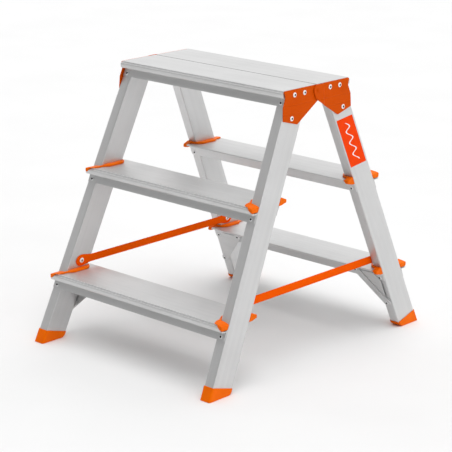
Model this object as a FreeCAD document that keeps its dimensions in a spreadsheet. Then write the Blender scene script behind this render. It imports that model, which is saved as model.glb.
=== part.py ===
"""Double-sided folding step ladder: two stepped frames hinged under a split platform.

The front frame leans towards +Y and the rear frame is the same set of pieces turned half a
turn about the vertical axis. X runs along the treads, Z is up, the floor is at Z = 0 and the
origin is on the floor under the middle of the platform. Lengths are in millimetres.
"""
import FreeCAD, Part
import math
import os

import Sketcher

Vector = FreeCAD.Vector
Rotation = FreeCAD.Rotation
Placement = FreeCAD.Placement

DIMENSIONS = {
    # whole ladder
    "platform_height": 630.0,
    "rise": 236.0,
    "stile_lean": 0.4425,           # Y travelled per millimetre of height
    "side_splay": 0.0477,           # X travelled per millimetre of height
    "floor_half_width": 276.1,      # outer stile face at the floor
    "floor_half_depth": 369.8,      # front stile face at the floor
    # stiles: rectangular tube, sizes measured in a level cut
    "stile_width": 25.6,
    "stile_depth": 68.0,
    "stile_wall": 1.6,
    "stile_corner": 2.6,
    "stile_bottom": 6.0,
    # treads: one extrusion for the steps and for each half of the platform
    "tread_wall": 2.2,
    "tread_height": 35.0,
    "rear_flange": 31.5,
    "rear_overhang": 22.2,
    "rear_lip": 3.2,
    "flat_reach": 20.0,
    "groove_width": 2.2,
    "groove_depth": 2.8,
    "nose_reach": 25.0,
    "nose_height": 16.0,
    "nose_shoulder": 4.5,
    "nose_rounding": 4.8,
    "nose_bead": 6.5,
    "notch_clearance": 0.4,
    "platform_end_gap": 0.3,
    # moulded caps round the stiles at the tread ends, with a plug in each cut tread edge
    "cap_rise": 5.2,
    "cap_drop": 12.5,
    "cap_front": 25.8,
    "cap_rear": 20.5,
    "cap_strip": 14.0,
    "cap_bend": 7.0,
    "cap_edge": 2.2,
    "plug_width": 13.0,
    # moulded feet
    "foot_skin": 2.0,
    "foot_rear_skin": 0.9,
    "foot_front_top": 30.0,
    "foot_rear_top": 12.5,
    # hinge plates
    "plate_sheet": 2.0,
    "plate_drop": 66.0,
    "pivot_height": 616.5,
    "tongue_radius": 14.0,
    "joggle_start": 22.5,
    "joggle_end": 17.5,
    "joggle_gap": 0.9,
    "pin_radius": 3.0,
    "pin_clearance": 0.05,
    "pin_head_radius": 4.4,
    "pin_head": 1.6,
    # straps between the frames
    "strap_width": 18.5,
    "strap_sheet": 1.8,
    "strap_eye_radius": 13.5,
    "strap_tip": 17.0,
    "strap_eye_y": 252.5,
    "strap_height": 178.5,
    # corner braces across the rear faces of the lowest treads and the stiles
    "brace_width": 18.0,            # of the thick rim along the free edge
    "brace_sheet": 2.8,
    "brace_web": 1.2,
    "brace_reach": 55.0,            # from the stile's inner face to the upper rivet
    "brace_head_drop": 14.5,        # from the tread top to the upper rivet
    "brace_foot_height": 67.0,
    "brace_foot_length": 12.0,      # flat part of the foot pressed to the stile
    # tubular rivets
    "tread_rivet_radius": 4.0,
    "plate_rivet_radius": 5.4,
    "strap_rivet_radius": 6.2,
    "brace_rivet_radius": 4.0,
    "rivet_head": 1.5,
    "rivet_shank_radius": 2.7,
    "rivet_bore_radius": 1.9,
    "rivet_grip": 8.0,
    "front_rivet_drop": 28.2,       # from the tread top down to its front flange rivets
    "rear_rivet_drop": 24.6,
    # adhesive label on one rear stile
    "label_sheet": 0.3,
    "label_top": 537.0,
    "label_bottom": 422.5,
    "label_front_margin": 9.5,
    "label_rear_margin": 3.0,
    "label_slant": 7.0,             # how much higher the label's outer edge stands
}
PLATE_OUTLINE = [
    # Y and height of the corners of a hinge plate on the front stile, from its top corner
    (-112.0, 629.6),
    (-107.0, 614.5),
    (-115.6, 594.0),
    (-116.6, 564.8),
    (-70.2, 552.2),
]
PLATE_RIVETS = [
    # Y and height of the rivets of a hinge plate
    (-77.2, 618.0),
    (-43.9, 618.3),
    (-88.2, 567.6),
]
FIT = 0.1                           # gap between pieces that are fastened together

doc = FreeCAD.newDocument("step_ladder")
sheet = doc.addObject("Spreadsheet::Sheet", "dims")
for row, (alias, amount) in enumerate(DIMENSIONS.items(), start=1):
    sheet.set(f"A{row}", alias)
    sheet.set(f"B{row}", str(amount))
    sheet.setAlias(f"B{row}", alias)
doc.recompute()


class Size:
    """A number together with the sheet formula that it comes from."""

    def __init__(self, value, formula=None):
        self.value = float(value)
        self.formula = formula or repr(float(value))

    def __add__(self, other):
        other = as_size(other)
        return Size(self.value + other.value, f"({self.formula} + {other.formula})")

    def __sub__(self, other):
        other = as_size(other)
        return Size(self.value - other.value, f"({self.formula} - {other.formula})")

    def __mul__(self, other):
        other = as_size(other)
        return Size(self.value * other.value, f"({self.formula} * {other.formula})")

    def __rmul__(self, other):
        return self * other

    def __rsub__(self, other):
        return as_size(other) - self

    def __neg__(self):
        return self * -1


def as_size(number):
    return number if isinstance(number, Size) else Size(number)


class SheetSizes:
    """Every alias of the sheet as a Size, read as an attribute."""

    def __getattr__(self, alias):
        return Size(sheet.get(alias), f"dims.{alias}")


d = SheetSizes()


# ---- places on the frame, for the front frame; side is -1 for left and 1 for right ----

def front_face(z):
    """Y of the front face of the front stiles at height z."""
    return d.stile_lean * z - d.floor_half_depth


def rear_face(z):
    return front_face(z) + d.stile_depth


def outer_face(z):
    """Distance from the middle to the outer face of a stile at height z."""
    return d.floor_half_width - d.side_splay * z


def inner_face(z):
    return outer_face(z) - d.stile_width


SPLAY_ANGLE = math.atan(d.side_splay.value)
TREAD_TOPS = {
    "lower_tread": d.platform_height - 2 * d.rise,
    "middle_tread": d.platform_height - d.rise,
    "platform_half": d.platform_height,
}
SIDES = {"left": -1, "right": 1}
FRAMES = {"front": 0.0, "rear": 180.0}


# ---- sketches and features ----

def bind(target, name, size):
    """Give a property or constraint its sheet formula."""
    target.setExpression(name, as_size(size).formula)


def new_body(label):
    body = doc.addObject("PartDesign::Body", label)
    body.Label = label
    return body


def new_sketch(body, role, offset=0.0, name="outline"):
    """Sketch on one of the body's own planes, moved along the plane's normal by offset."""
    sketch = body.newObject("Sketcher::SketchObject", name)
    plane = next(item for item in body.Origin.OriginFeatures if item.Role == role)
    sketch.AttachmentSupport = [(plane, "")]
    sketch.MapMode = "FlatFace"
    offset = as_size(offset)
    sketch.AttachmentOffset = Placement(Vector(0, 0, offset.value), Rotation())
    bind(sketch, "AttachmentOffset.Base.z", offset)
    return sketch


def add_outline(sketch, corners):
    """Closed loop of straight edges with each corner dimensioned from the sketch origin."""
    first = sketch.GeometryCount
    count = len(corners)
    points = [(as_size(u), as_size(v)) for u, v in corners]
    for index, (u, v) in enumerate(points):
        next_u, next_v = points[(index + 1) % count]
        start = Vector(u.value, v.value, 0)
        sketch.addGeometry(Part.LineSegment(start, Vector(next_u.value, next_v.value, 0)))
    for index in range(count):
        following = first + (index + 1) % count
        sketch.addConstraint(Sketcher.Constraint("Coincident", first + index, 2, following, 1))
    for index, (u, v) in enumerate(points):
        for kind, size in (("DistanceX", u), ("DistanceY", v)):
            rule = Sketcher.Constraint(kind, -1, 1, first + index, 1, size.value)
            number = sketch.addConstraint(rule)
            bind(sketch, f"Constraints[{number}]", size)


def settle(body, feature):
    """Recompute, and stop if the feature failed."""
    doc.recompute()
    if "Invalid" in feature.State or "Error" in feature.State:
        raise RuntimeError(f"{body.Label}: {feature.Name} failed")


def extrude(body, kind, sketch, length, direction=None, symmetric=False, reverse=False):
    """Pad or Pocket of a sketch; a custom direction makes an oblique prism."""
    feature = body.newObject(f"PartDesign::{kind}", kind.lower())
    feature.Profile = sketch
    length = as_size(length)
    feature.Length = length.value
    bind(feature, "Length", length)
    if symmetric:
        feature.SideType = "Symmetric"
    if direction is not None:
        feature.UseCustomVector = True
        feature.Direction = direction
        feature.AlongSketchNormal = True
    feature.Reversed = reverse
    before = body.Shape.Volume if kind == "Pocket" else 0.0
    settle(body, feature)
    if kind == "Pocket" and not body.Shape.Volume < before - 1e-6:
        raise RuntimeError(f"{body.Label}: a pocket removed nothing")
    return feature


def round_edges(body, feature, names, radius):
    fillet = body.newObject("PartDesign::Fillet", "rounding")
    fillet.Base = (feature, names)
    fillet.Radius = as_size(radius).value
    bind(fillet, "Radius", radius)
    settle(body, fillet)
    return fillet


def edges_along(feature, direction, accept):
    """Names of the straight edges parallel to a direction whose middle is accepted."""
    direction = Vector(*direction).normalize()
    names = []
    for number, edge in enumerate(feature.Shape.Edges, start=1):
        if edge.Curve.TypeId != "Part::GeomLine":
            continue
        along = edge.tangentAt(edge.FirstParameter)
        if abs(abs(along.dot(direction)) - 1) > 1e-4:
            continue
        if accept(edge.CenterOfMass):
            names.append(f"Edge{number}")
    return names


def stile_direction(side):
    """Upward direction of a front stile."""
    return Vector(-side * d.side_splay.value, d.stile_lean.value, 1)


def on_face_plane(side, face_x):
    """Placement whose YZ plane is the splayed plane that meets the floor at face_x."""
    turn = Rotation(Vector(0, 1, 0), math.degrees(-side * SPLAY_ANGLE))
    return Placement(Vector(side * as_size(face_x).value, 0, 0), turn)


def level_section(side, x_inner, x_outer, y_front, y_rear):
    """Rectangle in a level plane, given by distances from the middle."""
    return [
        (side * x_inner, y_front),
        (side * x_outer, y_front),
        (side * x_outer, y_rear),
        (side * x_inner, y_rear),
    ]


pieces = {}                          # node name -> document object


def keep(name, piece, frame="front"):
    """Put a finished piece of the front pattern into its frame under its own name."""
    piece.Label = name
    turn = Placement(Vector(), Rotation(Vector(0, 0, 1), FRAMES[frame]))
    piece.Placement = turn.multiply(piece.Placement)
    pieces[name] = piece


def node_side(frame, side_name):
    """Side of the front pattern that becomes this side once the frame is turned."""
    side = SIDES[side_name]
    return side if frame == "front" else -side


def drilled(body, holes):
    """The body with straight round holes; each hole is (centre, axis, radius)."""
    drills = []
    for centre, axis, radius in holes:
        drill = doc.addObject("Part::Cylinder", "drill")
        length = 3 * d.rivet_grip
        bind(drill, "Height", length)
        bind(drill, "Radius", radius)
        turn = Rotation(Vector(0, 0, 1), Vector(*axis))
        start = Vector(*centre) - Vector(*axis).normalize() * (length.value / 2)
        drill.Placement = Placement(start, turn)
        drills.append(drill)
    tool = drills[0]
    if len(drills) > 1:
        tool = doc.addObject("Part::Compound", "drills")
        tool.Links = drills
    cut = doc.addObject("Part::Cut", "drilled")
    cut.Base = body
    cut.Tool = tool
    doc.recompute()
    return cut


# ---- rivet places, each (centre on the riveted face, outward axis) ----

def tread_rivets(side):
    """Rivets through the tread flanges into the front and rear faces of a stile."""
    lean = d.stile_lean.value
    places = []
    for top in TREAD_TOPS.values():
        z = top - d.front_rivet_drop
        x = side * (outer_face(z) - 0.5 * d.stile_width)
        front = (x.value, (front_face(z) - d.tread_wall - FIT).value, z.value)
        places.append((front, (0, -1, lean)))
        z = top - d.rear_rivet_drop
        x = side * (outer_face(z) - 0.5 * d.stile_width)
        rear = (x.value, (rear_face(z) + d.tread_wall + FIT).value, z.value)
        places.append((rear, (0, 1, -lean)))
    return places


def plate_rivets(side):
    """Three rivets that hold a hinge plate to the outer face of a stile."""
    places = []
    for y, z in PLATE_RIVETS:
        x = outer_face(as_size(z)) + d.plate_sheet + 2 * FIT
        places.append(((side * x.value, y, z), (side, 0, d.side_splay.value)))
    return places


def strap_rivets(side):
    """Rivet through the eye of a strap into the inner face of a stile."""
    z = d.strap_height
    x = inner_face(z) - d.strap_sheet - 2 * FIT
    return [((side * x.value, -d.strap_eye_y.value, z.value), (-side, 0, -d.side_splay.value))]


def brace_ends():
    """Distance from the middle and height of the foot and head of a brace."""
    foot = d.brace_foot_height
    head = TREAD_TOPS["lower_tread"] - d.brace_head_drop
    return [
        (inner_face(foot) + 0.5 * d.stile_width, foot),
        (inner_face(head) - d.brace_reach, head),
    ]


def brace_rivets(side):
    """Rivets through a brace: one into the stile, one into the tread's rear flange."""
    lean = d.stile_lean.value
    off = (d.tread_wall + d.brace_sheet + 2 * FIT) * (1 / math.hypot(1, lean))
    return [
        ((side * x.value, (rear_face(z) + off).value, (z - lean * off).value), (0, 1, -lean))
        for x, z in brace_ends()
    ]


RIVET_GROUPS = {
    "tread": tread_rivets,
    "plate": plate_rivets,
    "strap": strap_rivets,
    "brace": brace_rivets,
}


def shank_holes(places):
    radius = d.rivet_shank_radius + d.pin_clearance
    return [(centre, axis, radius) for centre, axis in places]


# ---- pieces ----

def make_stile(frame, side_name):
    side = node_side(frame, side_name)
    bottom = d.stile_bottom
    top = d.platform_height - d.tread_wall - FIT
    body = new_body(f"{frame}_{side_name}_stile_tube")
    direction = stile_direction(side)
    sketch = new_sketch(body, "XY_Plane", bottom)
    faces = (inner_face(bottom), outer_face(bottom), front_face(bottom), rear_face(bottom))
    add_outline(sketch, level_section(side, *faces))
    pad = extrude(body, "Pad", sketch, top - bottom, direction)
    corners = edges_along(pad, direction, lambda middle: True)
    round_edges(body, pad, corners, d.stile_corner)
    wall = d.stile_wall
    bore = new_sketch(body, "XY_Plane", bottom, "bore")
    inside = (faces[0] + wall, faces[1] - wall, faces[2] + 1.1 * wall, faces[3] - 1.1 * wall)
    add_outline(bore, level_section(side, *inside))
    extrude(body, "Pocket", bore, top - bottom, direction)
    rivets = tread_rivets(side) + plate_rivets(side) + strap_rivets(side) + brace_rivets(side)[:1]
    keep(f"{frame}_{side_name}_stile", drilled(body, shank_holes(rivets)), frame)


def tread_profile(top):
    """Outer outline of the tread extrusion in the YZ plane, from the rear edge forwards."""
    wall = d.tread_wall
    front = front_face(top) - FIT
    rear = rear_face(top) + FIT
    lean = d.stile_lean
    edge = rear_face(top) + d.rear_overhang
    nose = front - d.nose_reach
    ceiling = top - wall
    sole = top - d.tread_height
    heel = top - d.rear_flange
    return [
        (edge, top),
        (front - d.flat_reach, top),
        (front - d.flat_reach, top - d.groove_depth),
        (front - d.flat_reach - d.groove_width, top - d.groove_depth),
        (nose, top - d.nose_shoulder),
        (nose, top - d.nose_height),
        (front - lean * d.nose_height - wall, top - d.nose_height),
        (front - lean * d.tread_height - wall, sole),
        (front - lean * d.tread_height, sole),
        (front - lean * wall, ceiling),
        (rear - lean * wall, ceiling),
        (rear - lean * d.rear_flange, heel),
        (rear - lean * d.rear_flange + wall, heel),
        (rear - lean * wall + wall, ceiling),
        (edge - wall, ceiling),
        (edge - wall, top - d.rear_lip),
        (edge, top - d.rear_lip),
    ]


def nose_chamber(top):
    """Hollow inside the nose of the tread extrusion."""
    wall = d.tread_wall
    front = front_face(top) - FIT
    lean = d.stile_lean
    roof = top - 2 * wall
    ground = top - d.nose_height + wall
    return [
        (front - d.nose_reach + d.nose_bead, roof),
        (front - 2 * lean * wall - wall, roof),
        (front - lean * (d.nose_height - wall) - wall, ground),
        (front - d.nose_reach + d.nose_bead, ground),
    ]


def plug_underside(top, clearance):
    """Rounded lower edge of a cap's plug seen from the front, from the outer face inwards."""
    outer = outer_face(top)
    return [
        (outer, top - d.cap_drop - clearance),
        (outer - 0.38 * d.plug_width - 0.4 * clearance, top - 0.78 * d.cap_drop - clearance),
        (outer - 0.72 * d.plug_width - 0.7 * clearance, top - 0.50 * d.cap_drop - clearance),
        (outer - d.plug_width - clearance, top - 0.16 * d.cap_drop - clearance),
    ]


def cut_tread_end(body, side, top, half_length):
    """Open the top plate for the stile, and cut both tread edges back for the cap's plugs."""
    beyond = half_length + d.plug_width
    passage = new_sketch(body, "XY_Plane", top, "passage")
    lowest_front = front_face(top - d.tread_wall) - FIT
    inside = (inner_face(top) - FIT, beyond, lowest_front, rear_face(top) + FIT)
    add_outline(passage, level_section(side, *inside))
    extrude(body, "Pocket", passage, d.tread_wall)
    notch = new_sketch(body, "XZ_Plane", 0.0, "notch")
    seat = plug_underside(top, d.notch_clearance)
    sky = top + d.tread_wall
    around = [(beyond, sky), (beyond, seat[0][1])] + seat + [(seat[-1][0], sky)]
    add_outline(notch, [(side * x, z) for x, z in around])
    extrude(body, "Pocket", notch, 4 * d.floor_half_depth, symmetric=True)


def make_tread(frame, tread_name):
    top = TREAD_TOPS[tread_name]
    body = new_body(f"{frame}_{tread_name}_extrusion")
    sketch = new_sketch(body, "YZ_Plane")
    add_outline(sketch, tread_profile(top))
    add_outline(sketch, nose_chamber(top))
    half_length = outer_face(top) - d.platform_end_gap
    pad = extrude(body, "Pad", sketch, 2 * half_length, symmetric=True)
    nose_y = (front_face(top) - FIT - d.nose_reach).value
    nose_edges = edges_along(pad, (1, 0, 0), lambda middle: abs(middle.y - nose_y) < 0.1)
    rounded = round_edges(body, pad, nose_edges, d.nose_rounding)
    edge_y = (rear_face(top) + d.rear_overhang).value
    rim = edges_along(
        rounded, (1, 0, 0),
        lambda middle: abs(middle.y - edge_y) < 0.1 and abs(middle.z - top.value) < 0.1)
    round_edges(body, rounded, rim, 0.6 * d.tread_wall)
    holes = []
    for side in SIDES.values():
        index = list(TREAD_TOPS).index(tread_name)
        holes += tread_rivets(side)[2 * index:2 * index + 2]
        if tread_name == "lower_tread":
            holes += brace_rivets(side)[1:]
    if tread_name != "platform_half":
        for side in SIDES.values():
            cut_tread_end(body, side, top, half_length)
    keep(f"{frame}_{tread_name}", drilled(body, shank_holes(holes)), frame)


def make_cap(frame, tread_name, side_name):
    """Moulding round a stile on its tread: a raised lip, and a rounded plug at either end."""
    side = node_side(frame, side_name)
    top = TREAD_TOPS[tread_name]
    level = tread_name.split("_")[0]
    body = new_body(f"{frame}_{level}_{side_name}_cap_moulding")
    seat = top + FIT
    roof = top + d.cap_rise
    ground = top - d.cap_drop
    inner = inner_face(top)
    outer = outer_face(top)
    root = outer - d.plug_width
    lip = inner - d.cap_strip
    front = front_face(top)
    rear = rear_face(top)
    nose = front - d.cap_front
    tail = rear + d.cap_rear
    strip = d.cap_strip
    reach = d.cap_front
    plan = new_sketch(body, "XY_Plane", seat)
    add_outline(plan, [(side * x, y) for x, y in [
        (outer, nose),
        (root, nose),
        (inner + 0.05 * strip, front - 0.82 * reach),
        (inner - 0.25 * strip, front - 0.42 * reach),
        (inner - 0.30 * strip, front),
        (lip, front + 0.6 * reach),
        (lip, rear - 0.4 * reach),
        (inner - 0.35 * strip, rear + 0.1 * reach),
        (root, rear + 0.4 * reach),
        (root, tail),
        (outer, tail),
    ]])
    raised = extrude(body, "Pad", plan, roof - seat)
    bends = edges_along(
        raised, (0, 0, 1),
        lambda middle: inner.value > abs(middle.x) and middle.y < rear.value)
    rounded = round_edges(body, raised, bends, d.cap_bend)
    edge = [
        f"Edge{number}" for number, line in enumerate(rounded.Shape.Edges, start=1)
        if line.BoundBox.ZMin > roof.value - 0.01 and line.BoundBox.XLength < lip.value
        and abs(line.CenterOfMass.x) < root.value and line.CenterOfMass.y < rear.value
    ]
    round_edges(body, rounded, edge, d.cap_edge)
    plugs = new_sketch(body, "XY_Plane", ground, "plugs")
    add_outline(plugs, level_section(side, root, outer, nose, tail))
    extrude(body, "Pad", plugs, roof - ground)
    profile = new_sketch(body, "YZ_Plane", 0.0, "profile")
    add_outline(profile, [
        (nose - reach, roof + reach),
        (nose - reach, ground - reach),
        (nose + 0.15 * reach, ground - reach),
        (nose + 0.15 * reach, ground),
        (nose + 0.04 * reach, ground + 0.1 * d.cap_drop),
        (nose, ground + 0.3 * d.cap_drop),
        (nose, top - 0.1 * d.cap_drop),
        (nose + 0.12 * reach, top + 0.35 * d.cap_rise),
        (nose + 0.5 * reach, top + 0.65 * d.cap_rise),
        (front + 0.2 * reach, top + 0.75 * d.cap_rise),
        (front + 0.6 * reach, roof),
        (rear + 0.2 * reach, roof),
        (tail, top - 0.2 * d.cap_rise),
        (tail, top - 0.65 * d.cap_drop),
        (rear + 0.1 * reach, ground),
        (rear + 0.1 * reach, ground - reach),
        (tail + reach, ground - reach),
        (tail + reach, roof + reach),
    ])
    extrude(body, "Pocket", profile, 4 * d.floor_half_width, symmetric=True)
    underside = plug_underside(top, as_size(0.0))
    keel = new_sketch(body, "XZ_Plane", 0.0, "keel")
    around = [(root - reach, underside[-1][1]), (root - reach, ground - reach)]
    around += [(outer + reach, ground - reach), (outer + reach, ground)]
    add_outline(keel, [(side * x, z) for x, z in around + underside])
    extrude(body, "Pocket", keel, 4 * d.floor_half_depth, symmetric=True)
    dip = new_sketch(body, "XZ_Plane", -(front + 0.1 * reach), "dip")
    add_outline(dip, [(side * x, z) for x, z in [
        (outer + reach, top - 0.16 * d.cap_drop),
        (outer, top - 0.16 * d.cap_drop),
        (outer - 0.6 * d.plug_width, top + 0.1 * d.cap_rise),
        (root, top + 0.25 * d.cap_rise),
        (inner, top + 0.6 * d.cap_rise),
        (inner, roof + reach),
        (outer + reach, roof + reach),
    ]])
    extrude(body, "Pocket", dip, 2 * reach, reverse=True)
    slot = new_sketch(body, "XY_Plane", ground, "slot")
    inside = (inner_face(ground) - FIT, outer_face(ground) + d.cap_front,
              front_face(ground) - FIT, rear_face(ground) + FIT)
    add_outline(slot, level_section(side, *inside))
    extrude(body, "Pocket", slot, roof - ground, stile_direction(side))
    keep(f"{frame}_{level}_{side_name}_cap", body, frame)


def make_foot(frame, side_name):
    side = node_side(frame, side_name)
    skin = d.foot_skin
    body = new_body(f"{frame}_{side_name}_foot_moulding")
    ground = Size(0.0)
    direction = stile_direction(side)
    sole = new_sketch(body, "XY_Plane", ground)
    outside = (inner_face(ground) - skin, outer_face(ground) + skin,
               front_face(ground) - skin, rear_face(ground) + d.foot_rear_skin)
    add_outline(sole, level_section(side, *outside))
    tall = 1.5 * d.foot_front_top
    pad = extrude(body, "Pad", sole, tall, direction)
    corners = edges_along(pad, direction, lambda middle: True)
    round_edges(body, pad, corners, d.stile_corner + skin)
    socket = new_sketch(body, "XY_Plane", d.stile_bottom, "socket")
    bottom = d.stile_bottom
    inside = (inner_face(bottom) - FIT, outer_face(bottom) + FIT,
              front_face(bottom) - FIT, rear_face(bottom) + FIT)
    add_outline(socket, level_section(side, *inside))
    extrude(body, "Pocket", socket, tall, direction)
    brim = new_sketch(body, "YZ_Plane", 0.0, "brim")
    front_y = front_face(d.foot_front_top) - skin
    rear_y = rear_face(d.foot_rear_top) + d.foot_rear_skin
    run = 2 * d.stile_depth
    slope = (d.foot_rear_top - d.foot_front_top) * (1 / (rear_y - front_y).value)
    add_outline(brim, [
        (front_y - run, d.foot_front_top - run * slope),
        (rear_y + run, d.foot_rear_top + run * slope),
        (rear_y + run, 2 * tall),
        (front_y - run, 2 * tall),
    ])
    extrude(body, "Pocket", brim, 4 * d.floor_half_width, symmetric=True)
    heel = new_sketch(body, "YZ_Plane", 0.0, "heel")
    heel_y = rear_face(ground) + d.foot_rear_skin
    add_outline(heel, [
        (heel_y - 6 * skin, -skin),
        (heel_y - 4 * skin, Size(0.0)),
        (heel_y + 0.6 * skin, 0.45 * d.foot_rear_top),
        (heel_y + 4 * skin, 0.45 * d.foot_rear_top),
        (heel_y + 4 * skin, -skin),
    ])
    extrude(body, "Pocket", heel, 4 * d.floor_half_width, symmetric=True)
    keep(f"{frame}_{side_name}_foot", body, frame)


def laps_outside(side):
    """Whether the plate on this side of the front pattern passes outside the other frame's."""
    return side == SIDES["left"]


def make_hinge_plate(frame, side_name):
    """Sheet plate on the outer face of a stile, with a tongue that laps the other frame's."""
    side = node_side(frame, side_name)
    outside = laps_outside(side)
    thickness = d.plate_sheet
    stretch = math.hypot(1, d.side_splay.value)
    top_z = as_size(PLATE_OUTLINE[0][1] * stretch)
    pivot = d.pivot_height * stretch
    radius = d.tongue_radius
    face = on_face_plane(side, outer_face(0))
    blank = new_body(f"{frame}_{side_name}_hinge_plate_blank")
    front_view = new_sketch(blank, "YZ_Plane", 0.0)
    add_outline(front_view, [(y, z * stretch) for y, z in PLATE_OUTLINE] + [
        (0.0, pivot - 1.6 * radius),
        (0.55 * radius, pivot - 1.15 * radius),
        (0.95 * radius, pivot - 0.35 * radius),
        (0.95 * radius, pivot + 0.45 * radius),
        (0.5 * radius, top_z),
    ])
    pad = extrude(blank, "Pad", front_view, 8 * thickness, symmetric=True)
    tips = edges_along(pad, (1, 0, 0), lambda middle: middle.y < -50 or middle.y > 1)
    round_edges(blank, pad, tips, 1.6 * thickness)
    blank.Placement = face
    folded = new_body(f"{frame}_{side_name}_hinge_plate_sheet")
    plan = new_sketch(folded, "XY_Plane", pivot - 3 * d.plate_drop)
    far = 10 * radius
    near = 2 * radius
    if outside:
        step = thickness + d.joggle_gap
        mitre = 0.34 * thickness
        section = [
            (as_size(FIT), -far),
            (as_size(FIT), -d.joggle_start),
            (step + FIT, -d.joggle_end),
            (step + FIT, near),
            (step + thickness + FIT, near),
            (step + thickness + FIT, -d.joggle_end - mitre),
            (thickness + FIT, -d.joggle_start - mitre),
            (thickness + FIT, -far),
        ]
    else:
        section = [
            (as_size(FIT), -far),
            (as_size(FIT), near),
            (thickness + FIT, near),
            (thickness + FIT, -far),
        ]
    add_outline(plan, [(side * u, y) for u, y in section])
    extrude(folded, "Pad", plan, 6 * d.plate_drop)
    folded.Placement = face
    plate = doc.addObject("Part::Common", f"{frame}_{side_name}_hinge_plate_cut")
    plate.Base = blank
    plate.Tool = folded
    doc.recompute()
    height = d.pivot_height.value
    x = side * outer_face(d.pivot_height).value
    bore = d.pin_radius if outside else d.pin_radius + d.pin_clearance
    holes = shank_holes(plate_rivets(side)) + [((x, 0.0, height), (side, 0, 0), bore)]
    keep(f"{frame}_{side_name}_hinge_plate", drilled(plate, holes), frame)


def revolved(label, axis_role, outline):
    """Body turned from a closed outline in the XZ plane about one of its own axes."""
    body = new_body(label)
    profile = new_sketch(body, "XZ_Plane")
    add_outline(profile, outline)
    turned = body.newObject("PartDesign::Revolution", "turned")
    turned.Profile = profile
    axis = next(item for item in body.Origin.OriginFeatures if item.Role == axis_role)
    turned.ReferenceAxis = (axis, [""])
    turned.Angle = 360
    doc.recompute()
    return body


def make_hinge_pin(frame, side_name):
    """Headed pin along X, fixed in the outer tongue and free in the inner one."""
    side = node_side(frame, side_name)
    base = outer_face(d.pivot_height)
    gap = 4 * FIT
    inner_end = base - gap - d.pin_head
    outer_end = base + d.plate_sheet + d.joggle_gap + d.plate_sheet + gap
    tip = outer_end + 0.6 * d.pin_head
    head = d.pin_head_radius
    body = revolved(f"{side_name}_hinge_pin", "X_Axis", [
        (side * inner_end, 0.0),
        (side * inner_end, head),
        (side * (inner_end + d.pin_head), head),
        (side * (inner_end + d.pin_head), d.pin_radius),
        (side * outer_end, d.pin_radius),
        (side * outer_end, 0.9 * head),
        (side * tip, 0.6 * head),
        (side * tip, 0.0),
    ])
    body.Placement = Placement(Vector(0, 0, d.pivot_height.value), Rotation())
    keep(f"{side_name}_hinge_pin", body, frame)


def make_hinge_washer(frame, side_name):
    """Spacer between the two tongues, against the outer one."""
    side = node_side(frame, side_name)
    stretch = math.hypot(1, d.side_splay.value)
    thickness = 0.6 * d.joggle_gap
    start = d.plate_sheet + d.joggle_gap - thickness
    body = revolved(f"{side_name}_hinge_washer", "X_Axis", [
        (side * start, d.pin_radius + d.pin_clearance + 3 * FIT),
        (side * (start + thickness), d.pin_radius + d.pin_clearance + 3 * FIT),
        (side * (start + thickness), 1.75 * d.pin_radius),
        (side * start, 1.75 * d.pin_radius),
    ])
    plane = on_face_plane(side, outer_face(0))
    lift = Placement(Vector(0, 0, d.pivot_height.value * stretch), Rotation())
    body.Placement = plane.multiply(lift)
    keep(f"{side_name}_hinge_washer", body, frame)


def make_strap(side_name):
    """Flat webbing strap between the inner faces of the front and rear stiles of one side."""
    side = SIDES[side_name]
    stretch = math.hypot(1, d.side_splay.value)
    body = new_body(f"{side_name}_strap")
    blank = new_sketch(body, "YZ_Plane", -side * (d.strap_sheet + FIT))
    middle = d.strap_height * stretch
    half = 0.5 * d.strap_width
    reach = d.strap_eye_y
    eye = d.strap_eye_radius
    outline = []
    for end in (-1, 1):
        outline.append((end * (reach - 2.4 * eye), middle - end * half))
        for degrees in range(-108, 109, 12):
            turn = math.radians(degrees)
            spread = d.strap_tip if abs(degrees) < 90 else eye
            outline.append((
                end * (reach + math.cos(turn) * spread),
                middle + (end * math.sin(turn)) * eye,
            ))
        outline.append((end * (reach - 2.4 * eye), middle + end * half))
    add_outline(blank, outline)
    extrude(body, "Pad", blank, d.strap_sheet, reverse=side < 0)
    body.Placement = on_face_plane(side, inner_face(0))
    doc.recompute()
    holes = shank_holes(strap_rivets(side))
    mirrored = [((x, -y, z), axis, radius) for (x, y, z), axis, radius in holes]
    keep(f"{side_name}_strap", drilled(body, holes + mirrored))


def round_ended(start, end, half_width):
    """Outline of a flat strip with rounded ends between two points of a sketch."""
    slope = math.atan2((end[1] - start[1]).value, (end[0] - start[0]).value)
    outline = []
    for middle, facing in ((end, slope), (start, slope + math.pi)):
        for degrees in range(-90, 91, 20):
            turn = facing + math.radians(degrees)
            outline.append((
                middle[0] + math.cos(turn) * half_width,
                middle[1] + math.sin(turn) * half_width,
            ))
    return outline


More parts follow.
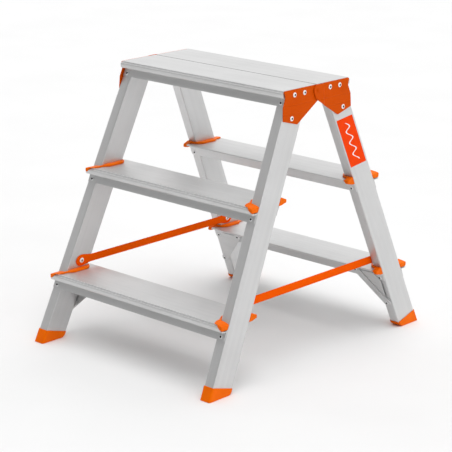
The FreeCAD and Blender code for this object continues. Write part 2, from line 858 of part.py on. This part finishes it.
def make_brace(frame, side_name):
    """Gusset behind the lowest tread and a stile: a thin web, a thick rim and a pressed foot.

    The web's outer corner is cut off, so that it passes the tread's rear rivet.
    """
    side = node_side(frame, side_name)
    stretch = math.hypot(1, d.stile_lean.value)
    half = 0.5 * d.brace_width
    foot, head = [(side * x, z * stretch) for x, z in brace_ends()]
    span = math.hypot((head[0] - foot[0]).value, (head[1] - foot[1]).value)
    share = d.brace_foot_length.value / span
    knee = (foot[0] + share * (head[0] - foot[0]), foot[1] + share * (head[1] - foot[1]))
    clear = 1.75 * d.tread_rivet_radius
    low = TREAD_TOPS["lower_tread"] - d.rear_rivet_drop - clear
    low_corner = (side * (inner_face(low) + 0.5 * d.stile_width), low * stretch)
    high_corner = (side * (inner_face(low) - d.tread_rivet_radius), head[1])
    body = new_body(f"{frame}_{side_name}_brace_pressing")
    rim = new_sketch(body, "XZ_Plane", -(d.tread_wall + FIT))
    add_outline(rim, round_ended(foot, head, half))
    extrude(body, "Pad", rim, d.brace_sheet, reverse=True)
    web = new_sketch(body, "XZ_Plane", -(d.tread_wall + FIT), "web")
    add_outline(web, [foot, low_corner, high_corner, head])
    extrude(body, "Pad", web, d.brace_web, reverse=True)
    pressed = new_sketch(body, "XZ_Plane", -as_size(FIT), "pressed_foot")
    add_outline(pressed, round_ended(foot, knee, half))
    extrude(body, "Pad", pressed, d.tread_wall, reverse=True)
    turn = Rotation(Vector(1, 0, 0), -math.degrees(math.atan(d.stile_lean.value)))
    body.Placement = Placement(Vector(0, rear_face(as_size(0.0)).value, 0), turn)
    doc.recompute()
    keep(f"{frame}_{side_name}_brace", drilled(body, shank_holes(brace_rivets(side))), frame)


def make_label(frame, side_name):
    """Thin adhesive label on the outer face of a stile, following the stile's lean."""
    side = node_side(frame, side_name)
    stretch = math.hypot(1, d.side_splay.value)
    body = new_body(f"{frame}_{side_name}_label")
    blank = new_sketch(body, "YZ_Plane", side * 0.5 * FIT)
    low = d.label_bottom
    high = d.label_top
    slant = d.label_slant
    corners = [
        (front_face(low) + d.label_front_margin, (low + slant) * stretch),
        (rear_face(low) - d.label_rear_margin, low * stretch),
        (rear_face(high) - d.label_rear_margin, high * stretch),
        (front_face(high) + d.label_front_margin, (high + slant) * stretch),
    ]
    add_outline(blank, corners)
    extrude(body, "Pad", blank, d.label_sheet, reverse=side < 0)
    body.Placement = on_face_plane(side, outer_face(0))
    keep(f"{frame}_{side_name}_label", body, frame)


def make_rivet_pattern(group):
    """One tubular rivet standing on the XY plane, its shank pointing down."""
    head = as_size(getattr(d, f"{group}_rivet_radius"))
    return revolved(f"{group}_rivet_pattern", "Z_Axis", [
        (d.rivet_bore_radius, 0.7 * d.rivet_head),
        (d.rivet_bore_radius, -d.rivet_grip),
        (d.rivet_shank_radius, -d.rivet_grip),
        (d.rivet_shank_radius, 0.0),
        (head, 0.0),
        (head, 0.35 * d.rivet_head),
        (0.65 * head, d.rivet_head),
        (0.45 * head, d.rivet_head),
    ])


def make_rivets(name, frame, places, pattern):
    """Group of separate rivets at the given places of the front pattern."""
    copies = []
    for centre, axis in places:
        copy = pattern.Shape.copy()
        copy.Placement = Placement(Vector(*centre), Rotation(Vector(0, 0, 1), Vector(*axis)))
        copies.append(copy)
    group = doc.addObject("Part::Feature", name)
    group.Shape = Part.makeCompound(copies)
    keep(name, group, frame)


rivet_patterns = {group: make_rivet_pattern(group) for group in RIVET_GROUPS}

for frame_name in FRAMES:
    for level_name in TREAD_TOPS:
        make_tread(frame_name, level_name)
    for side_word in SIDES:
        make_stile(frame_name, side_word)
        make_foot(frame_name, side_word)
        make_brace(frame_name, side_word)
        make_hinge_plate(frame_name, side_word)
        make_cap(frame_name, "lower_tread", side_word)
        make_cap(frame_name, "middle_tread", side_word)
    for group_name, places_of in RIVET_GROUPS.items():
        spots = [place for side_sign in SIDES.values() for place in places_of(side_sign)]
        pattern = rivet_patterns[group_name]
        make_rivets(f"{frame_name}_{group_name}_rivets", frame_name, spots, pattern)

for side_word, owner in (("left", "front"), ("right", "rear")):
    make_hinge_pin(owner, side_word)
    make_hinge_washer(owner, side_word)
    make_strap(side_word)
make_label("rear", "right")

doc.recompute()
for item in doc.Objects:
    if "Invalid" in item.State or "Error" in item.State:
        raise RuntimeError(f"{item.Label} failed: {item.State}")
for name, piece in pieces.items():
    if piece.Shape.isNull() or not piece.Shape.isValid():
        raise RuntimeError(f"{name} has no valid shape")

os.makedirs("parts", exist_ok=True)
for name, piece in pieces.items():
    piece.Shape.exportStep(f"parts/{name}.step")
    print(f"{name:32s} {len(piece.Shape.Solids):3d} solids {piece.Shape.Volume / 1000:9.2f} cm3")
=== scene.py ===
"""Finishes of the folding double-sided step ladder, with its camera, floor and lights."""

import math

import bmesh
import bpy
from mathutils import Matrix, Quaternion, Vector


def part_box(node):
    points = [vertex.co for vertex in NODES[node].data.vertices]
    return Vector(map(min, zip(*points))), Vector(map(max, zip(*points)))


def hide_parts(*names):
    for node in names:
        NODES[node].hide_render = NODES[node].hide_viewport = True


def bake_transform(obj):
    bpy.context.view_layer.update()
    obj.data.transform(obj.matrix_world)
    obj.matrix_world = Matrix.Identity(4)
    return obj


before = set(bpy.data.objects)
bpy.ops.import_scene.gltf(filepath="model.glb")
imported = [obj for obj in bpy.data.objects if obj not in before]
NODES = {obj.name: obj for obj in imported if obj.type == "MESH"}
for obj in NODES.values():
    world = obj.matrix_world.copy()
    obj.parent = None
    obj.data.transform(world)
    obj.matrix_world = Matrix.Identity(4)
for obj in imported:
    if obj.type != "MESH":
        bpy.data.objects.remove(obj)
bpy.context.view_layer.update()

# camera, from the middle of the ladder
LOOK_AT = Vector((0.0, 0.0, 0.315))
CAMERA_AZIMUTH = 42.135
CAMERA_ELEVATION = 16.21
CAMERA_ROLL = math.radians(0.611)
CAMERA_DISTANCE = 4.0065
CAMERA_SLIDE_RIGHT = -0.01263
CAMERA_SLIDE_UP = -0.05488
LENS = 137.35

# slopes of the stiles, as travel for each metre of height
STILE_LEAN = 0.4425
SIDE_SPLAY = 0.0477

# pressed ribs of the hinge plates
PLATE_RIBS = (0.5965, 0.5775)
PLATE_RIB_HALF_WIDTH = 0.0022

# distances from the platform's middle line over which its painted seam shadow fades out
SEAM_SHADOW_EDGE = (0.0010, 0.0020)

# from straight behind the ladder to the brightest part of the surroundings, towards its left
WORLD_TURN = math.radians(28)

# faces this near the axis of a rivet lie inside its bore, and get the painted shade
RIVET_BORE_REACH = 0.0025

# webbing straps; the weave is given by the spacing of its ribs
STRAP_HALF_WIDTH = 0.00925
STRAP_HALF_SHEET = 0.0009
STRAP_EYE_RADIUS = 0.0135
STRAP_EYE_SHOULDER = 2.4 * STRAP_EYE_RADIUS
STRAP_TIP = 0.017
STRAP_TIP_GAP = 0.0001
STRAP_LEAST_HALF_WIDTH = 0.0004
STRAP_SELVEDGE_SHARE = 0.25
STRAP_STATIONS = 150
STRAP_COLUMNS = 8
WEAVE_LENGTH = 0.0022
WEAVE_WIDTH = 0.0017

# pale wave line on the label: waves in its length, their swing, and where the line fades out
LABEL_WAVES = 4.5
LABEL_SWING = 0.0085
LABEL_LINE_EDGE = (0.0018, 0.0024)
LABEL_LINE_END = (0.36, 0.37)

# moulded edges: voxel size and smoothing passes
CAP_SOFTENING = (0.0007, 9)
FOOT_SOFTENING = (0.0008, 4)

FLOOR_REACH = 30.0
FLOOR_DROP = 0.0002


def direction_of(azimuth, elevation):
    """Unit vector away from the ladder; azimuth 0 is its front (-Y) and 90 its right (+X)."""
    around = math.radians(azimuth)
    up = math.radians(elevation)
    return Vector((
        math.sin(around) * math.cos(up),
        -math.cos(around) * math.cos(up),
        math.sin(up),
    ))


def set_camera():
    back = direction_of(CAMERA_AZIMUTH, CAMERA_ELEVATION)
    right = Vector((0, 0, 1)).cross(back).normalized()
    up = back.cross(right)
    turn = Matrix((right, up, back)).transposed().to_quaternion()
    turn = turn @ Quaternion((0, 0, 1), CAMERA_ROLL)
    right = turn @ Vector((1, 0, 0))
    up = turn @ Vector((0, 1, 0))
    data = bpy.data.cameras.new("camera")
    data.lens = LENS
    data.sensor_width = 36.0
    data.clip_end = 100.0
    camera = bpy.data.objects.new("camera", data)
    bpy.context.collection.objects.link(camera)
    camera.rotation_mode = "QUATERNION"
    camera.rotation_quaternion = turn
    slide = right * CAMERA_SLIDE_RIGHT + up * CAMERA_SLIDE_UP
    camera.location = LOOK_AT + back * CAMERA_DISTANCE + slide
    bpy.context.scene.camera = camera


# ---- materials ----

class Surface:
    """A Principled material that is built up node by node."""

    def __init__(self, name, **settings):
        self.material = bpy.data.materials.new(name)
        self.material.use_nodes = True
        self.tree = self.material.node_tree
        self.shader = self.tree.nodes["Principled BSDF"]
        for socket, amount in settings.items():
            self.shader.inputs[socket.replace("_", " ")].default_value = amount

    def add(self, kind, inputs=None, **properties):
        node = self.tree.nodes.new(kind)
        for name, amount in properties.items():
            setattr(node, name, amount)
        for name, value in (inputs or {}).items():
            self.feed(node.inputs[name], value)
        return node

    def feed(self, socket, value):
        """Link another node's output to a socket, or set the socket to a plain value."""
        if isinstance(value, bpy.types.NodeSocket):
            self.tree.links.new(value, socket)
        else:
            socket.default_value = value

    def place(self, grain=None, stretch=1.0):
        """Object coordinates in metres; along the grain they are squeezed, so patterns run long."""
        place = self.add("ShaderNodeTexCoord").outputs["Object"]
        if grain is None:
            return place
        turn = Vector((0, 0, 1)).rotation_difference(Vector(grain)).to_euler()
        node = self.add(
            "ShaderNodeMapping",
            {"Vector": place, "Rotation": turn, "Scale": (1, 1, stretch)},
            vector_type="TEXTURE",
        )
        return node.outputs["Vector"]

    def noise(self, place, scale, detail=3.0, roughness=0.5):
        inputs = {"Vector": place, "Scale": scale, "Detail": detail, "Roughness": roughness}
        return self.add("ShaderNodeTexNoise", inputs).outputs["Fac"]

    def remap(self, value, low, high, start=0.3, end=0.7):
        inputs = {"Value": value, "From Min": start, "From Max": end, "To Min": low, "To Max": high}
        return self.add("ShaderNodeMapRange", inputs).outputs["Result"]

    def mix(self, share, first, second):
        """Colour between two colours; 0 is the first and 1 the second."""
        node = self.add("ShaderNodeMix", {0: share, 6: first, 7: second}, data_type="RGBA")
        return node.outputs[2]

    def math(self, operation, first, second=0.0):
        return self.add("ShaderNodeMath", {0: first, 1: second}, operation=operation).outputs[0]

    def sum(self, first, second):
        return self.math("ADD", first, second)

    def product(self, first, second):
        return self.math("MULTIPLY", first, second)

    def size(self, value):
        return self.math("ABSOLUTE", value)

    def wave(self, value, length):
        """Sine of a distance, repeating after the given length."""
        return self.math("SINE", self.product(value, 2 * math.pi / length))

    def axes(self, place):
        return self.add("ShaderNodeSeparateXYZ", {"Vector": place}).outputs

    def bump(self, height, distance, strength=1.0):
        inputs = {"Height": height, "Distance": distance, "Strength": strength}
        node = self.add("ShaderNodeBump", inputs)
        self.set("Normal", node.outputs["Normal"])

    def set(self, socket, value):
        self.tree.links.new(value, self.shader.inputs[socket])


def aluminium(name, grain, seam_shadow=False):
    """Satin extruded aluminium with fine die lines along the grain and faint handling marks.

    Optionally a painted shadow: a dark line where the two halves of the platform meet, in place of the
    shade in the gap between them.
    """
    made = Surface(name, Metallic=0.7, Specular_IOR_Level=0.4)
    along = made.place(grain, 60.0)
    lines = made.noise(along, 900.0, 2.0)
    bands = made.noise(along, 90.0, 2.0)
    clouds = made.noise(made.place(), 9.0, 4.0)
    marks = made.noise(made.place(grain, 5.0), 160.0, 5.0, 0.7)
    tone = made.sum(made.remap(bands, 0.0, 0.5), made.remap(clouds, 0.0, 0.5))
    colour = made.mix(tone, (0.69, 0.69, 0.69, 1), (0.62, 0.62, 0.62, 1))
    if seam_shadow:
        # painted shadow: darkens the colour near the platform's middle line, where its halves meet
        away = made.size(made.axes(made.place())["Y"])
        colour = made.mix(made.remap(away, 1.0, 0.0, *SEAM_SHADOW_EDGE), colour, (0.24, 0.24, 0.24, 1))
    made.set("Base Color", colour)
    smear = made.sum(made.remap(clouds, 0.38, 0.44), made.remap(marks, 0.0, 0.10, 0.45, 0.75))
    made.set("Roughness", made.sum(smear, made.remap(lines, -0.03, 0.05)))
    made.bump(lines, 0.00002, 0.6)
    return made.material


def moulded_plastic(name, colour, deep, sheen_rough=0.42):
    """Coloured moulding with a fine spark texture and slightly uneven colour."""
    made = Surface(name, Specular_IOR_Level=0.06, Subsurface_Weight=0.04)
    made.shader.inputs["Subsurface Radius"].default_value = (0.004, 0.0012, 0.0004)
    grain = made.noise(made.place(), 2600.0, 2.0)
    flow = made.noise(made.place(), 26.0, 4.0)
    made.set("Base Color", made.mix(made.remap(flow, 0.0, 1.0), (*colour, 1), (*deep, 1)))
    made.set("Roughness", made.sum(made.remap(flow, sheen_rough - 0.05, sheen_rough + 0.05),
                                   made.remap(grain, -0.03, 0.03)))
    made.bump(grain, 0.00003, 0.5)
    return made.material


def powder_coat(name, colour, deep):
    """Powder coat on pressed steel: a faint orange peel, and two shallow ribs across the plate."""
    made = Surface(name, Specular_IOR_Level=0.03)
    place = made.place()
    peel = made.noise(place, 700.0, 2.0)
    flow = made.noise(place, 30.0, 4.0)
    made.set("Base Color", made.mix(made.remap(flow, 0.0, 1.0), (*colour, 1), (*deep, 1)))
    made.set("Roughness", made.remap(flow, 0.36, 0.48))
    height = made.axes(place)["Z"]
    relief = made.remap(peel, 0.0, 0.05)
    for rib_height in PLATE_RIBS:
        offset = made.size(made.sum(height, -rib_height))
        relief = made.sum(relief, made.remap(offset, 1.0, 0.0, 0.0, PLATE_RIB_HALF_WIDTH))
    made.bump(relief, 0.0008, 0.7)
    return made.material


def rivet_metal(name):
    """Bright rolled rivet head, brighter than the sheet round it."""
    made = Surface(name, Metallic=0.35, Specular_IOR_Level=0.6)
    swirl = made.noise(made.place(), 1400.0, 3.0)
    share = made.remap(swirl, 0.0, 1.0)
    made.set("Base Color", made.mix(share, (0.95, 0.95, 0.95, 1), (0.84, 0.84, 0.85, 1)))
    made.set("Roughness", made.remap(swirl, 0.22, 0.40))
    return made.material


def painted_bore_shade(name):
    """Painted shade: dull, near-black metal colour for the faces inside the drawn-out shank of a rivet,
    in place of the shade deep in the recess.
    """
    made = Surface(name, Metallic=0.4, Specular_IOR_Level=0.2)
    bore_shade_noise = made.noise(made.place(), 900.0, 3.0)
    share = made.remap(bore_shade_noise, 0.0, 1.0)
    made.set("Base Color", made.mix(share, (0.05, 0.05, 0.05, 1), (0.09, 0.085, 0.08, 1)))
    made.set("Roughness", made.remap(bore_shade_noise, 0.6, 0.8))
    return made.material


def webbing(name):
    """Flat woven webbing: ribs across the strap and a fine twill along it, with painted shade in the
    troughs of the weave.
    """
    made = Surface(name, Roughness=0.8, Sheen_Weight=0.02, Sheen_Roughness=0.4, Specular_IOR_Level=0.02)
    place = made.place()
    axes = made.axes(place)
    ribs = made.product(made.wave(axes["Y"], WEAVE_LENGTH), made.wave(axes["Z"], WEAVE_WIDTH))
    fuzz = made.noise(place, 1500.0, 3.0)
    height = made.sum(made.remap(ribs, 0.0, 1.0, -1.0, 1.0), made.remap(fuzz, 0.0, 0.5))
    # painted shade: darker colour in the troughs between the ribs and lighter on them; the fuzz adds
    # random tone
    shade = made.sum(made.remap(ribs, 0.0, 0.55, -1.0, 1.0), made.remap(fuzz, 0.0, 0.45))
    made.set("Base Color", made.mix(shade, (0.90, 0.085, 0.0, 1), (1.0, 0.125, 0.0, 1)))
    made.bump(height, 0.0002, 0.7)
    return made.material


def label_film(name):
    """Printed vinyl with one pale wave along its length, in place of any lettering."""
    made = Surface(name, Specular_IOR_Level=0.04)
    place = made.place()
    axes = made.axes(place)
    flow = made.noise(place, 60.0, 3.0)
    paint = made.mix(made.remap(flow, 0, 1), (0.98, 0.062, 0.0, 1), (0.90, 0.052, 0.0, 1))
    lowest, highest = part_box("rear_right_label")
    middle = (lowest + highest) / 2
    length = highest.z - lowest.z
    depth = made.sum(made.product(axes["Z"], STILE_LEAN), axes["Y"])
    across = made.sum(depth, -(middle.y + STILE_LEAN * middle.z))
    swing = made.product(made.wave(axes["Z"], length / LABEL_WAVES), LABEL_SWING)
    away = made.size(made.math("SUBTRACT", across, swing))
    line = made.remap(away, 1.0, 0.0, *LABEL_LINE_EDGE)
    along = made.size(made.sum(axes["Z"], -middle.z))
    ends = [share * length for share in LABEL_LINE_END]
    ink = made.product(line, made.remap(along, 1.0, 0.0, *ends))
    made.set("Base Color", made.mix(ink, paint, (0.95, 0.92, 0.90, 1)))
    made.set("Roughness", made.remap(flow, 0.28, 0.36))
    made.bump(flow, 0.00003, 0.4)
    return made.material


def floor_material():
    """Matt pale paper with hardly visible clouds."""
    made = Surface("pale_floor", Roughness=0.9, Specular_IOR_Level=0.2)
    flow = made.noise(made.place(), 3.0, 3.0)
    share = made.remap(flow, 0.0, 1.0)
    made.set("Base Color", made.mix(share, (0.85, 0.85, 0.85, 1), (0.87, 0.87, 0.87, 1)))
    return made.material


ALONG_TREAD = (1, 0, 0)


def stile_direction(frame_name, side_name):
    lean = STILE_LEAN if frame_name == "front" else -STILE_LEAN
    splay = -SIDE_SPLAY if side_name == "right" else SIDE_SPLAY
    return (splay, lean, 1)


FINISHES = {
    "tread": aluminium("tread_aluminium", ALONG_TREAD),
    "platform": aluminium("platform_aluminium", ALONG_TREAD, seam_shadow=True),
    "moulding": moulded_plastic("orange_moulding", (0.95, 0.165, 0.001), (0.86, 0.135, 0.0)),
    "plate": powder_coat("orange_powder_coat", (0.68, 0.084, 0.0), (0.63, 0.075, 0.0)),
    "rivet": rivet_metal("rivet_metal"),
    "bore": painted_bore_shade("painted_bore_shade"),
    "webbing": webbing("orange_webbing"),
    "label": label_film("label_film"),
}
for frame_name in ("front", "rear"):
    for side_name in ("left", "right"):
        key = f"{frame_name}_{side_name}_stile"
        FINISHES[key] = aluminium(key + "_aluminium", stile_direction(frame_name, side_name))


def finish_of(node_name):
    if node_name in FINISHES:
        return node_name
    if "cap" in node_name or "foot" in node_name:
        return "moulding"
    if "hinge_plate" in node_name or "pin" in node_name:
        return "plate"
    if "rivets" in node_name or "washer" in node_name:
        return "rivet"
    if "strap" in node_name:
        return "webbing"
    if "label" in node_name:
        return "label"
    if "platform" in node_name:
        return "platform"
    return "tread"


for node_name, piece in NODES.items():
    piece.data.materials.clear()
    piece.data.materials.append(FINISHES[finish_of(node_name)])


# ---- details of the frame's own pieces ----

def loose_parts(mesh):
    """Lists of vertices that are joined to each other by edges."""
    waiting = set(mesh.verts)
    while waiting:
        part = {waiting.pop()}
        border = part
        while border:
            border = {edge.other_vert(vert) for vert in border for edge in vert.link_edges} - part
            part |= border
        waiting -= part
        yield part


def rivet_axis(node_name, centre):
    """Line of a rivet: square to the leaning faces of a stile, or to its splayed sides."""
    if "tread" in node_name or "brace" in node_name:
        lean = STILE_LEAN if node_name.startswith("front") else -STILE_LEAN
        return Vector((0, -1, lean)).normalized()
    return Vector((math.copysign(1, centre.x), 0, SIDE_SPLAY)).normalized()


def paint_bore_shade(node_name, piece):
    """Give the faces inside each rivet's bore the near-black painted-shade finish."""
    piece.data.materials.append(FINISHES["bore"])
    mesh = bmesh.new()
    mesh.from_mesh(piece.data)
    for rivet in loose_parts(mesh):
        centre = sum((vert.co for vert in rivet), Vector()) / len(rivet)
        axis = rivet_axis(node_name, centre)
        for face in {face for vert in rivet for face in vert.link_faces}:
            offset = face.calc_center_median() - centre
            if (offset - axis * offset.dot(axis)).length < RIVET_BORE_REACH:
                piece.data.polygons[face.index].material_index = 1
    mesh.free()


def soften(piece, voxel, passes):
    """Melt a moulding's sharp edges into small radii."""
    remesh = piece.modifiers.new("moulded skin", "REMESH")
    remesh.mode = "VOXEL"
    remesh.voxel_size = voxel
    remesh.use_smooth_shade = True
    smooth = piece.modifiers.new("moulded edges", "SMOOTH")
    smooth.factor = 0.5
    smooth.iterations = passes


for node_name, piece in NODES.items():
    if "rivets" in node_name:
        # painted shade in the rivets' bores
        paint_bore_shade(node_name, piece)
    if "cap" in node_name:
        soften(piece, *CAP_SOFTENING)
    if "foot" in node_name:
        soften(piece, *FOOT_SOFTENING)


# ---- webbing straps ----

def strap_half_width(distance, reach):
    """Half the width of the strap at a distance from its middle; it widens to a round eye."""
    if distance > reach:
        beyond = min((distance - reach) / STRAP_TIP, 1.0)
        return STRAP_EYE_RADIUS * math.sqrt(1 - beyond * beyond)
    swell = max(0.0, 1 - (reach - distance) / STRAP_EYE_SHOULDER)
    ease = swell * swell * (3 - 2 * swell)
    return STRAP_HALF_WIDTH + (STRAP_EYE_RADIUS - STRAP_HALF_WIDTH) * ease


def make_strap(side_name):
    """Woven strap with rounded selvedges, in the place of its plain CAD strip."""
    node_name = f"{side_name}_strap"
    lowest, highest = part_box(node_name)
    side = 1 if side_name == "right" else -1
    normal = Vector((side, 0, SIDE_SPLAY)).normalized()
    upward = Vector((-side * SIDE_SPLAY, 0, 1)).normalized()
    middle = (lowest + highest) / 2
    tip = highest.y - STRAP_TIP_GAP
    reach = tip - STRAP_TIP
    mesh = bmesh.new()
    rings = []
    for station in range(STRAP_STATIONS + 1):
        y = -tip * math.cos(math.pi * station / STRAP_STATIONS)
        half = max(strap_half_width(abs(y), reach), STRAP_LEAST_HALF_WIDTH)
        ring = []
        for face in (1, -1):
            for column in range(STRAP_COLUMNS + 1):
                share = face * (2 * column / STRAP_COLUMNS - 1)
                fullness = 1 - abs(share) ** 6 * (1 - STRAP_SELVEDGE_SHARE)
                point = middle + Vector((0, y, 0)) + upward * (share * half)
                point += normal * (face * STRAP_HALF_SHEET * fullness)
                ring.append(mesh.verts.new(point))
        rings.append(ring)
    for near, far in zip(rings, rings[1:]):
        for index in range(len(near)):
            after = (index + 1) % len(near)
            mesh.faces.new((near[index], near[after], far[after], far[index]))
    mesh.faces.new(rings[0])
    mesh.faces.new(reversed(rings[-1]))
    bmesh.ops.recalc_face_normals(mesh, faces=mesh.faces)
    data = bpy.data.meshes.new(f"{node_name}_webbing")
    mesh.to_mesh(data)
    mesh.free()
    data.materials.append(FINISHES["webbing"])
    for face in data.polygons:
        face.use_smooth = True
    strap = bpy.data.objects.new(f"{node_name}_webbing", data)
    bpy.context.collection.objects.link(strap)
    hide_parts(node_name)
    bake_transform(strap)


for side_name in ("left", "right"):
    make_strap(side_name)


# ---- stage ----

def add_floor():
    mesh = bpy.data.meshes.new("floor")
    corners = [
        (side * FLOOR_REACH, end * FLOOR_REACH, 0)
        for side, end in ((-1, -1), (1, -1), (1, 1), (-1, 1))
    ]
    mesh.from_pydata(corners, [], [(0, 1, 2, 3)])
    mesh.materials.append(floor_material())
    floor = bpy.data.objects.new("floor", mesh)
    bpy.context.collection.objects.link(floor)
    floor.location.z = -FLOOR_DROP


def add_sun(name, azimuth, elevation, spread, power):
    """Distant light with a soft edge, from an azimuth measured round the ladder as the camera's."""
    data = bpy.data.lights.new(name, "SUN")
    data.angle = math.radians(spread)
    data.energy = power
    light = bpy.data.objects.new(name, data)
    bpy.context.collection.objects.link(light)
    light.rotation_mode = "QUATERNION"
    light.rotation_quaternion = direction_of(azimuth, elevation).to_track_quat("Z", "Y")


def set_world(dim, bright):
    """Studio surroundings, brightest behind the ladder on its left and dimmest opposite."""
    world = bpy.data.worlds.new("studio")
    world.use_nodes = True
    tree = world.node_tree
    background = tree.nodes["Background"]
    background.inputs["Color"].default_value = (1.0, 1.0, 1.0, 1)
    direction = tree.nodes.new("ShaderNodeTexCoord")
    turn = tree.nodes.new("ShaderNodeMapping")
    turn.inputs["Rotation"].default_value = (0, 0, -WORLD_TURN)
    split = tree.nodes.new("ShaderNodeSeparateXYZ")
    grade = tree.nodes.new("ShaderNodeMapRange")
    grade.interpolation_type = "SMOOTHSTEP"
    for socket, amount in (("From Min", -0.8), ("From Max", 0.7), ("To Min", dim), ("To Max", bright)):
        grade.inputs[socket].default_value = amount
    tree.links.new(direction.outputs["Generated"], turn.inputs["Vector"])
    tree.links.new(turn.outputs["Vector"], split.inputs["Vector"])
    tree.links.new(split.outputs["Y"], grade.inputs["Value"])
    tree.links.new(grade.outputs["Result"], background.inputs["Strength"])
    bpy.context.scene.world = world


set_camera()
add_floor()
set_world(0.12, 1.05)
add_sun("key", 88, 20, 40, 0.5)
add_sun("top", 50, 75, 50, 1.6)
bpy.context.scene.view_settings.view_transform = "Standard"
